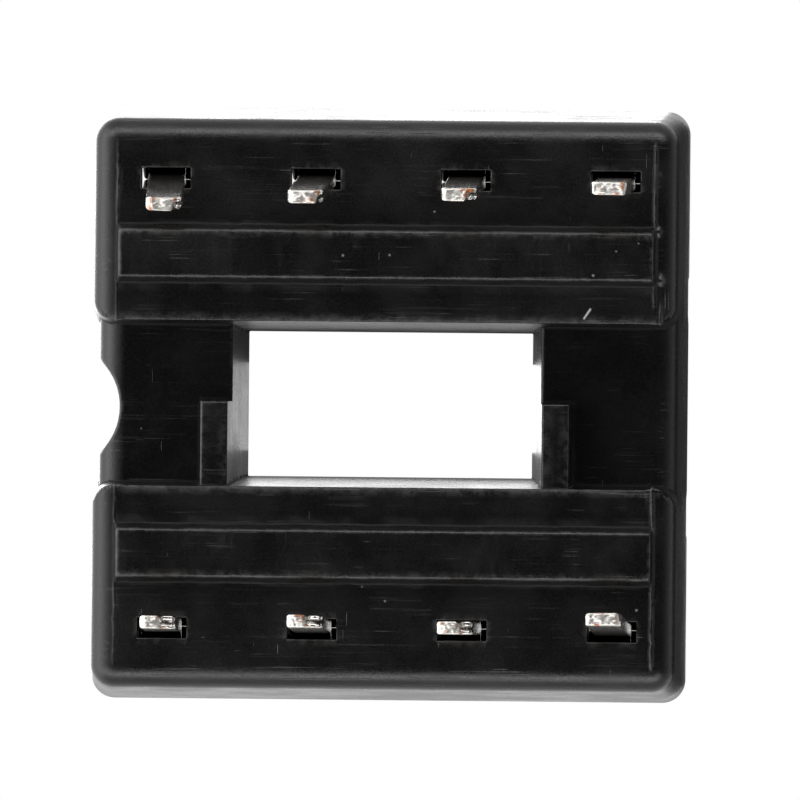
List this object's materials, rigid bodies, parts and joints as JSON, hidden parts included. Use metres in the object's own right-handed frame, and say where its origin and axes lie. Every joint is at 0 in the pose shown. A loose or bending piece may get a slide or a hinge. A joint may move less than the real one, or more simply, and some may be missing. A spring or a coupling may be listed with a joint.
{
  "type": "ic socket",
  "caption": "Dual-in-line socket for a small integrated circuit: open moulded frame with two rows of twin-leaf spring contacts on flat solder tails.",
  "frame": {"origin": "middle of the tail pattern, on the board's surface (the plane of the seating ribs' faces)", "axes": "+Z away from the board, through the open top; X along the rows of contacts, with the notched end at -X; Y across the rows"},
  "size_m": [0.0102, 0.0102, 0.0077],
  "materials": {
    "black_plastic": "moulded thermoplastic, fine spark-eroded texture, edges worn to a low sheen",
    "tin_plate": "tin plating over copper alloy strip, bare copper colour on the sheared tips"
  },
  "bodies": {
    "root": {"housing": "black_plastic", "contact_1": "tin_plate", "contact_2": "tin_plate", "contact_3": "tin_plate", "contact_4": "tin_plate", "contact_5": "tin_plate", "contact_6": "tin_plate", "contact_7": "tin_plate", "contact_8": "tin_plate"}
  },
  "joints": []
}
